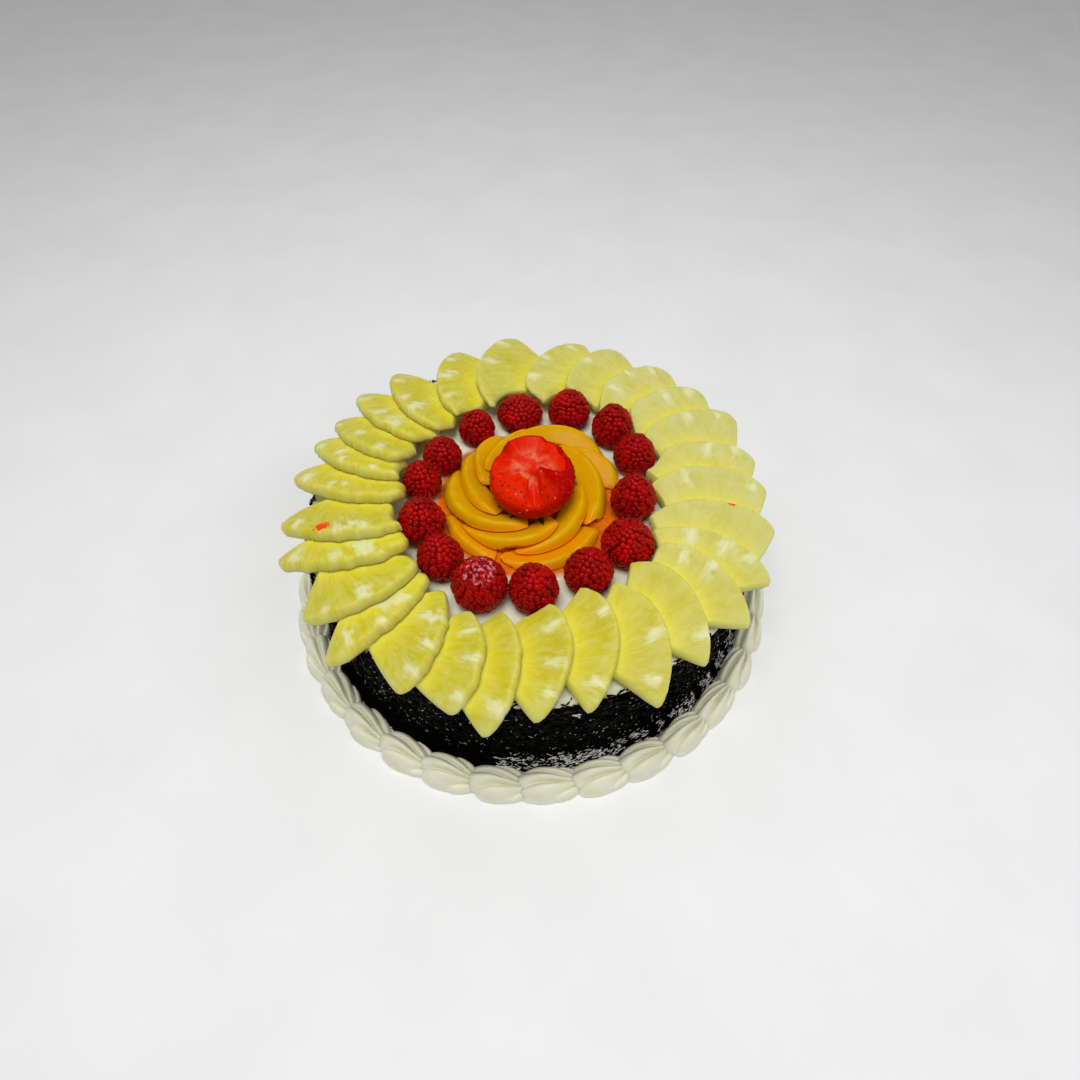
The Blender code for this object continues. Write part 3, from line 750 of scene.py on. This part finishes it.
def slice_tufts(i, rng):
    """Pale torn spots of a slice along its outer arc, each a place and a size."""
    tufts = []

    def add(part, deep, size):
        radius = INNER_RADII[i] + (TIP_RADII[i] - INNER_RADII[i]) * part
        high = slice_edges(i, radius)[1]
        tufts.append((polar(radius, high - math.degrees(deep / radius)), size))

    front = sind(TIP_ANGLES[i]) < -0.3
    left = cosd(TIP_ANGLES[i]) < -0.3
    for part in (0.84, 0.56, 0.3):
        if rng.random() < (0.9 if (front and part > 0.8) or left else 0.55):
            add(part + rng.uniform(-0.05, 0.05), rng.uniform(3.0, 7.0), rng.uniform(2.0, 3.6))
    if left:
        add(rng.uniform(0.3, 0.7), rng.uniform(6.0, 10.0), rng.uniform(2.0, 3.5))
    return tufts


def tuft_amount(tufts, core, on, spot, seed):
    """How far a point of a slice lies in its pale tufts, which are longer along the fibres."""
    amount = 0.0
    for centre, size in tufts:
        off = on - centre
        run = unit(centre - core)
        far = math.hypot(off @ run / 1.5, (off[0] * run[1] - off[1] * run[0]) / 0.85)
        uneven = size * (1 + 0.9 * rough(spot, 2.6, seed))
        amount += math.exp(-(far / max(0.4, uneven)) ** 1.9)
    return min(1, amount)


def stain_amount(i, radius, deg, high):
    """Two small red spots of berry juice: on a left slice, and by the edge of a right one."""
    if i == STAINED_LEFT:
        aside = math.radians(deg + 161.0) * radius
        return math.exp(-(radius - 93.0) ** 2 / 16.0 - aside ** 2 / 7.0)
    if i == STAINED_RIGHT:
        aside = math.radians(high - deg) * radius - 1.2
        return math.exp(-(radius - 91.0) ** 2 / 5.0 - aside ** 2 / 0.8)
    return 0.0


def build_slice(i, fan, material):
    """One slice: rows of points from its inner end to its tip, and its underside."""
    angle, inner, tip = TIP_ANGLES[i], INNER_RADII[i], TIP_RADII[i]
    levels, fan_angles, fan_steps = fan
    rise = slice_rise(angle)
    thickness = rise - SLICE_CLEARANCE + SLICE_PLUMP
    sunk = levels[i] - SLICE_LAP * rise
    lowest = between(sunk, fan_steps, fan_angles)
    above = (i + 1) % len(TIP_ANGLES)
    left = facing(angle, LEFT)
    behind = 1.5 * facing(angle, BACK)
    # how far the slice faces the lit side, which sets its painted light
    painted_side_light = facing(angle, LIT_SIDE)
    along = angle + TWISTS[i] * 0.5
    core = polar((tip + inner) / 2, along) + polar(RING_OFFSET, along - 90.0)
    tufts = slice_tufts(i, random.Random(60 + i))
    rows, columns = eased(54), eased(28)
    top, under, looks = [], [], []
    for share in rows:
        radius = inner + (tip - inner) * share
        low, high = slice_edges(i, radius)
        low = max(low, min(lowest, high - math.degrees(6.0 / radius)))
        spot = polar(radius, high, 0.0)
        ragged = (0.2 + 0.8 * left) * (1.5 * rough(spot, 6.0, i) + 0.7 * rough(spot, 2.4, i))
        ragged += 0.2 * rough(spot, 1.2, i)
        high += math.degrees(ragged / radius) * round_edge(min(radius - inner, tip - radius), 3.0)
        wide = math.radians(high - low) * radius
        cover = None
        if radius < TIP_RADII[above] - 0.5:
            cover = slice_edges(above, radius)[1]
            cover += 360.0 * round((high - cover) / 360.0)
        for across in columns:
            deg = low + (high - low) * across
            start = max(inner, berry_edge(deg))
            out = radius
            if out < start + 4.0:
                out = start + (radius - inner) / (start + 4.0 - inner) * 4.0
            height = TOP + max(0, between(deg, fan_angles, fan_steps) - sunk) - droop(out, deg)
            height = max(height, rim_height(out) + GAP + 0.7)
            away = min(across * wide, (1 - across) * wide, 1.3 * (tip - radius), out - start + 0.05)
            on = polar(out, deg)
            spot = (*on, height)
            pale = tuft_amount(tufts, core, on, spot, 9.0 + i) * (1 - 0.8 * left * math.exp(-away / 2.0))
            fluff = pale * (0.35 + 0.5 * abs(rough(spot, 1.1, 30.0 + i)))
            swell = 0.45 * rough(spot, 7.0, 20.0 + i) + 0.16 * rough(spot, 2.0, 40.0 + i) - 0.2
            soft = round_edge(away, EDGE_SOFT + 1.8 * left)
            thin = max(fade(tip - out, 7.0), behind * fade(out - start, 5.0))
            body = thickness * (1 - 0.45 * thin) + (min(0.35, swell) + fluff) * soft
            top.append((*on, height + body * (1 - (0.7 + 0.2 * left) * (1 - soft))))
            under.append((*on, height - 0.7 * max(0, 1 - thin) * (1 - round_edge(away, 2.0))))
            x, y = on - core
            # closeness to the edge of the slice lying over this one, which sets the painted glow in the seam
            beside = 30.0 if cover is None else math.radians(deg - cover) * radius
            looks.append(((math.hypot(x, y) * MM, math.atan2(y, x) * 0.030, 0.01 * i), pale,
                          stain_amount(i, radius, deg, high), fade(beside, 5.0),
                          max(math.exp(-away / 1.6), 0.9 * fade(tip - radius - 1.0, 7.0)), painted_side_light))
    values = dict(zip(("ring", "pale", "stain", "painted_crease_glow", "rim", "painted_side_light"), zip(*looks)))
    # the underside gets the full painted glow and a weaker share of the tufts
    below = {**values, "pale": tuple(0.4 * v for v in values["pale"]), "painted_crease_glow": (1.0,) * len(looks)}
    faces = sheet_faces(len(rows), len(columns))
    shape = Shape()
    shape.add(top + under, faces, **{label: line + below[label] for label, line in values.items()})
    a_side = (len(rows) - 1) * (len(columns) - 1)
    shape.flat = range(a_side, 2 * a_side)
    name = "pineapple_slice_%02d" % (i + 1)
    place(shape, "fruit_" + name, [material], name)


# raspberries

def build_raspberry(n, flesh, hairs):
    """Berry of small drupelets packed in staggered rings from its tip down, most with a hair."""
    deg, distance, half, tall = BERRIES[n]
    rng = random.Random(40 + n)
    x, y = polar(distance, deg)
    lean = (0.06 * (rng.random() - 0.5), 0.06 * (rng.random() - 0.5))
    grain = rng.uniform(1.5, 1.68)
    body = half - grain * 0.55
    height = tall - grain * 0.55

    def outline(up):
        """Half width of the core at a share of its height."""
        past = max(0, (up - 0.33) / 0.67)
        return body * (1 - past ** 1.9) ** 0.72 * (0.76 + 0.24 * min(1, up / 0.3) ** 0.6)

    def spot(up, angle):
        px, py, z = polar(outline(up), angle, up * height)
        return np.array([x + px + lean[0] * z, y + py + lean[1] * z, TOP + z])

    shape = Shape()
    levels = [0.0, 0.05, 0.15, 0.3, 0.45, 0.6, 0.72, 0.83, 0.91, 0.97]
    shape.add([spot(up, 20.0 * k) for up in levels for k in range(18)], tube_faces(len(levels), 18))
    ups = np.linspace(1.0, 0.0, 400)
    lengths = run_along([outline(u) for u in ups], ups * height)
    along = 0.0
    while along < lengths[-1] - 0.4:
        up = between(along, lengths, ups)
        slope = (outline(max(0, up - 0.01)) - outline(min(1, up + 0.01))) / (0.02 * height)
        slope = min(slope, 6.0)
        count = max(1, round(math.tau * outline(up) / (grain * 1.62)))
        spin = rng.uniform(0, 360)
        for k in range(count):
            angle = spin + 360.0 * k / count + rng.uniform(-5.0, 5.0)
            out = np.array([cosd(angle), sind(angle), slope]) / math.sqrt(1 + slope * slope)
            at = spot(up, angle) + out * rng.uniform(-0.22, 0.1)
            at[2] += rng.uniform(-0.45, 0.45) if along else 0.0
            # drupelets near the top of the glossy berry get the painted highlight
            highlighted = n == GLOSSY_BERRY and out[2] > 0.66
            add_drupelet(shape, rng, at, out, grain * rng.uniform(0.86, 1.14), float(highlighted))
        along += grain * rng.uniform(1.38, 1.5)
    name = "raspberry_%02d" % (n + 1)
    place(shape, "fruit_" + name, [flesh, hairs], name)


def add_drupelet(shape, rng, at, out, size, frost):
    """A small dome, and a fine bent hair on most that don't face down."""
    side = np.cross(out, (0.0, 0.0, 1.0))
    if np.linalg.norm(side) < 0.1:
        side = np.cross(out, (0.0, 1.0, 0.0))
    side = unit(side)
    other = np.cross(out, side)
    verts = []
    depth = []
    for tilt, turn in ((95, 0.0), (68, 0.5), (46, 0.0), (24, 0.5)):
        wide = size * sind(tilt)
        verts += ring(at + DRUPELET_PROUD * size * cosd(tilt) * out, wide * side, wide * other, 9, turn)
        # share of the way up each drupelet, which sets the painted shade in the crevices between them
        depth += [max(0, cosd(tilt))] * 9
    for p in verts:
        p[2] = max(p[2], TOP)
    verts.append(at + DRUPELET_PROUD * size * out)
    faces = loft_faces(4, 9) + [(27 + k, 27 + (k + 1) % 9, 36) for k in range(9)]
    shape.add(verts, faces, depth=depth + [1.0], frost=[frost] * 37)
    if out[2] < -0.2 or rng.random() < 0.25:
        return
    reach = rng.uniform(0.8, 2.0)
    bend = np.array([rng.uniform(-1, 1), rng.uniform(-1, 1), rng.uniform(-0.3, 0.8)])
    hair = []
    for share in (0.0, 0.35, 0.7, 1.0):
        thick = 0.05 * (1 - 0.7 * share)
        centre = at + size * 0.7 * out + reach * share * (0.6 * out + bend * share)
        hair += ring(centre, thick * side, thick * other, 3)
    shape.add(hair, loft_faces(4, 3) + [(9, 10, 11)], 1, depth=[1.0] * 12)


# peach slices

def ridge(i, deg):
    """Distance and height of a peach slice's ridge at an angle, or None well past its ends."""
    angles, distances, heights = zip(*PEACHES[i])
    for a in (deg - 360.0, deg, deg + 360.0):
        if angles[0] - PEACH_REACH <= a <= angles[-1] + PEACH_REACH:
            spread = a + np.linspace(-5.0, 5.0, 5)
            return [float(np.mean(np.interp(spread, angles, line))) for line in (distances, heights)]
    return None


def ridges(i, deg):
    """A peach slice's own ridge at an angle, and those of the other slices there."""
    others = [ridge(o, deg) for o in range(len(PEACHES)) if o != i]
    return ridge(i, deg), [o for o in others if o is not None]


def peach_top(found, radius):
    """Height of a peach slice's upper surface: cut face inside the ridge, skin outside."""
    out = radius - found[0]
    soft = 0.3 * math.exp(-(out / 0.9) ** 2)
    if out < 0.0:
        return max(found[1] + CUT_SLOPE * max(out, -PEACH_DEPTH), TOP + 0.35) - soft
    curve = 1 - math.sqrt(1 - min(1, out / SKIN_WIDTH) ** 2)
    return found[1] - 0.35 * out - (SKIN_DROP - 0.35 * SKIN_WIDTH) * curve - soft


def peach_floor(found, others, radius):
    """Lowest height open to a slice: above the cream and above every slice outside it."""
    tops = [peach_top(other, radius) + PEACH_GAP for other in others if other[0] > found[0]]
    return max([TOP] + tops)


def peach_foot(found, others):
    """Radius where a slice's skin comes down on what lies beneath it."""
    outer = min([found[0] + SKIN_WIDTH * 0.97] + [other[0] - 0.4 for other in others if other[0] > found[0]])
    for radius in np.linspace(found[0], outer, 40)[1:]:
        if peach_top(found, radius) < peach_floor(found, others, radius) + 0.2:
            return float(radius)
    return outer


def build_peach(i, material):
    """One slice as a tube along its ridge: over the skin and the cut face, and back under both."""
    first, last = PEACHES[i][0][0] - 2.5, PEACHES[i][-1][0] + 2.5
    count = int((last - first) / 1.8)
    outside = [1.0, 0.97, 0.9, 0.78, 0.62, 0.45, 0.28, 0.12, 0.0]
    inside = [0.06, 0.14, 0.26, 0.4, 0.56, 0.74, 0.9, 1.0]
    verts, looks = [], []
    for k in range(count + 1):
        deg = first + (last - first) * k / count
        found, others = ridges(i, deg)
        size = round_edge(min(deg - first, last - deg), 17.0) * 0.985 + 0.015
        feet = []
        for aside in (-6.0, -3.0, 0.0, 3.0, 6.0):
            near, beside = ridges(i, deg + aside)
            if near is not None:
                feet.append(peach_foot(near, beside) - near[0])
        foot = sum(feet) / len(feet) * (0.25 + 0.75 * size)
        outs = [(foot * s, 0.0) for s in outside] + [(-PEACH_DEPTH * size * s, 1.0) for s in inside]
        top, under, faced = [], [], []
        for out, cut in outs:
            radius = found[0] + out
            floor = peach_floor(found, others, radius)
            high = max(peach_top(found, radius), floor + 0.3)
            low = max(floor, high - PEACH_THICKNESS * (1 - 0.75 * max(0, -out) / PEACH_DEPTH))
            high = low + (high - low) * (0.08 + 0.92 * size)
            high += 0.12 * rough(polar(radius, deg, 0.0), 7.0, i) * size
            top.append(polar(radius, deg, high))
            under.append(polar(radius, deg, low))
            # how low the slice lies over what is beneath it, most at the front, which sets the painted shade
            deep = max(0, min(1, 1 - (high - floor) / 4.5)) * (0.3 + 0.5 * facing(deg, -BACK))
            # the last value marks the ridge, which sets its painted highlight
            faced.append((cut, deep, math.exp(-(out / 0.35) ** 2)))
        verts += top + under[:0:-1]
        looks += faced + faced[:0:-1]
    shape = Shape()
    faces = tube_faces(count + 1, 2 * len(outs) - 1)
    shape.add(verts, faces, **dict(zip(("cut", "low", "edge"), zip(*looks))))
    name = "peach_slice_%02d" % (i + 1)
    place(shape, "fruit_" + name, [material], name)


# strawberry

def wedge_shape(deg):
    """Rim and flesh point of the strawberry at an angle, blended across the cuts, and the cut's depth."""
    turn = (deg - WEDGES[0][0]) % 360.0
    starts = [(w[0] - WEDGES[0][0]) % 360.0 for w in WEDGES]
    here = max(k for k, s in enumerate(starts) if s <= turn)
    after = (here + 1) % len(WEDGES)
    to_start = turn - starts[here]
    to_end = (starts[after] - turn) % 360.0
    other = WEDGES[here - 1] if to_start < to_end else WEDGES[after]
    cut = max(0, 1 - min(to_start, to_end) / CUT_WIDTH)
    return [h + (o - h) * 0.5 * cut ** 2 for h, o in zip(WEDGES[here][1:], other[1:])], CUT_DEPTH * cut


def strawberry_section(deg):
    """Outer skin from the bottom up to the rim, then the cut flesh down to the pit."""
    (rim, top, inner, inner_top), cut = wedge_shape(deg)
    outer = [(0.3, 64.2), (9.0, 64.5), (14.6, 65.6), (17.6, 67.3), (19.1, 70.4)]
    for turn in (0, 22, 45, 68, 90):
        sink = cut * turn / 90.0
        outer.append((19.3 - (19.3 - rim) * (1 - cosd(turn)) - 0.4 * sink,
                      74.0 + (top - 74.0) * sind(turn) - sink))
    return outer, [(inner, inner_top - 0.6 * cut), (0.3, 79.0)]


def smooth_line(points, count):
    """Points along a rounded curve through the given ones."""
    p = np.array([points[0]] + points + [points[-1]], float)
    out = []
    spans = len(points) - 1
    for k in range(count):
        t = k / (count - 1) * spans
        j = min(int(t), spans - 1)
        t -= j
        a, b, c, d = p[j:j + 4]
        out.append(0.5 * (2 * b + (c - a) * t + (2 * a - 5 * b + 4 * c - d) * t ** 2
                          + (3 * b - a - 3 * c + d) * t ** 3))
    return out


def build_strawberry(flesh, seeds):
    around = 300
    skin_rows, flesh_rows = 46, 34
    columns = []
    for k in range(around):
        outer, inner = strawberry_section(360.0 * k / around)
        columns.append(smooth_line(outer, skin_rows) + smooth_line([outer[-1]] + inner, flesh_rows)[1:])
    rows = skin_rows + flesh_rows - 1
    verts, looks = [], []
    for row in range(rows):
        opened = float(row >= skin_rows - 1)
        for k in range(around):
            deg = 360.0 * k / around
            r, z = columns[k][row]
            x, y = polar(r, deg)
            push = 1 + 0.25 * rough((x, y, z), 5.0, 7.0) * min(1, r / 5.0) / max(r, 1.0)
            verts.append((BERRY_MIDDLE[0] + x * push, BERRY_MIDDLE[1] + y * push, z))
            # how far the skin faces the front-left and lies high, which sets its painted light
            painted_lit_side = facing(deg, 225.0) ** 0.5 * min(1, max(0, (z - 68.0) / 10.0))
            looks.append((opened, (math.radians(deg) * 0.02, r * MM, 0.0),
                          opened * math.exp(-((r - 6.0) / 3.6) ** 2), painted_lit_side))
    shape = Shape()
    values = zip(("flesh", "spread", "heart", "painted_lit_side"), zip(*looks))
    shape.add(verts, tube_faces(rows, around), **dict(values))
    add_seeds(shape)
    place(shape, "fruit_strawberry", [flesh, seeds], "strawberry")


def add_seeds(shape):
    """Rows of small oval seeds round the skin, staggered, their long side up the slope."""
    rng = random.Random(3)
    for row in range(17):
        for k in range(SEEDS_AROUND):
            deg = 360.0 * (k + 0.5 * (row % 2)) / SEEDS_AROUND + rng.uniform(-3, 3)
            line = np.transpose(smooth_line(strawberry_section(deg)[0], 60)[24:])
            lengths = run_along(*line)
            along = 1.2 + 2.0 * row + rng.uniform(-0.3, 0.3)
            if along > lengths[-1] - 1.0:
                continue
            radius, height = (between(along, lengths, way) for way in line)
            if math.tau * radius / SEEDS_AROUND * (1 if k % 2 else 3) < 3.0:
                continue
            out, side, up = arrows(deg)
            ahead = [between(along + 0.5, lengths, way) for way in line]
            slope = unit(out * (ahead[0] - radius) + up * (ahead[1] - height))
            centre = out * radius + up * height + (*BERRY_MIDDLE, 0.0)
            verts = []
            for wide, proud in ((1.0, -0.1), (0.8, 0.16), (0.35, 0.28)):
                at = centre + proud * np.cross(side, slope)
                verts += ring(at, 0.42 * wide * side, 0.7 * wide * slope, 8)
            shape.add(verts, loft_faces(3, 8) + [tuple(range(16, 24))], 1)


def leaf_height(x, y):
    """Height at which a leaf rests on the peach slices."""
    deg = math.degrees(math.atan2(y, x)) % 360.0
    found = [ridge(i, deg) for i in range(len(PEACHES))]
    tops = [peach_top(f, math.hypot(x, y)) for f in found if f is not None]
    return max([62.0] + [t + GAP for t in tops])


def build_calyx(material):
    """Star of leaves pressed between the strawberry and the peach slices."""
    shape = Shape()
    for deg, reach in LEAVES:
        top, under = [], []
        for share in np.linspace(0.0, 1.0, 11):
            radius = 3.0 + (reach - 3.0) * share
            half = 2.0 * (1 - share) ** 0.7 * (0.6 + share) + 0.05
            for side in (-1, -0.5, 0, 0.5, 1):
                x, y = polar(radius, deg + math.degrees(half * side / radius)) + BERRY_MIDDLE
                z = leaf_height(x, y) + (0.0 if side else 0.12)
                top.append((x, y, z + 0.45))
                under.append((x, y, z))
        shape.add(top + under, sheet_faces(11, 5))
    place(shape, "fruit_calyx", [material], "strawberry_calyx")


# stage

def build_floor():
    material = grained("floor", 0.7, (60.0, 3.0), (2.0, 2.0), 0.05, 0.2, (0.3, 0.86), (0.7, 0.9))
    shape = Shape()
    corners = ((-1, -1), (1, -1), (1, 1), (-1, 1))
    shape.add([(FLOOR_HALF * x, FLOOR_HALF * y, -0.2) for x, y in corners], [(0, 1, 2, 3)])
    shape.build("floor", [material])


def add_light(name, place_mm, size_mm, power):
    """A round lamp that faces the cake."""
    data = bpy.data.lights.new(name, "AREA")
    data.shape = "DISK"
    data.size = size_mm * MM
    data.energy = power
    aim = Vector([t - p for t, p in zip(LIGHT_TARGET, place_mm)])
    add_item(name, data, place_mm).rotation_euler = aim.to_track_quat("-Z", "Y").to_euler()


def build_lights():
    scene = bpy.context.scene
    scene.view_settings.view_transform = "Standard"
    scene.world = world = bpy.data.worlds.new("studio")
    world.use_nodes = True
    background = world.node_tree.nodes["Background"]
    background.inputs["Color"].default_value = (1.0, 1.0, 1.0, 1.0)
    background.inputs["Strength"].default_value = 0.35
    add_light("key", (-90.0, -120.0, 920.0), 520.0, 5.0)
    add_light("fill", (500.0, -300.0, 700.0), 600.0, 1.2)


def build_camera():
    data = bpy.data.cameras.new("camera")
    data.sensor_width = 36.0
    data.lens = CAMERA_LENS
    data.clip_start = 0.01
    data.clip_end = 20.0
    item = add_item("camera", data, CAMERA_PLACE)
    pitch = Matrix.Rotation(math.radians(90.0 - CAMERA_PITCH), 3, "X")
    item.rotation_euler = (pitch @ Matrix.Rotation(math.radians(CAMERA_ROLL), 3, "Z")).to_euler()
    bpy.context.scene.camera = item


def main():
    for item in list(bpy.data.objects):
        bpy.data.objects.remove(item)
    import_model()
    cream = cream_material()
    coat = coat_material()
    build_cake(cream, coat)
    build_coat(coat, flake_material(), speck_material())
    build_border(cream)
    fan = fan_heights()
    pineapple = pineapple_material()
    for i in range(len(TIP_ANGLES)):
        build_slice(i, fan, pineapple)
    flesh, hairs = raspberry_material(), hair_material()
    for n in range(len(BERRIES)):
        build_raspberry(n, flesh, hairs)
    peach = peach_material()
    for i in range(len(PEACHES)):
        build_peach(i, peach)
    build_strawberry(strawberry_material(), seed_material())
    build_calyx(leaf_material())
    build_floor()
    build_lights()
    build_camera()


main()
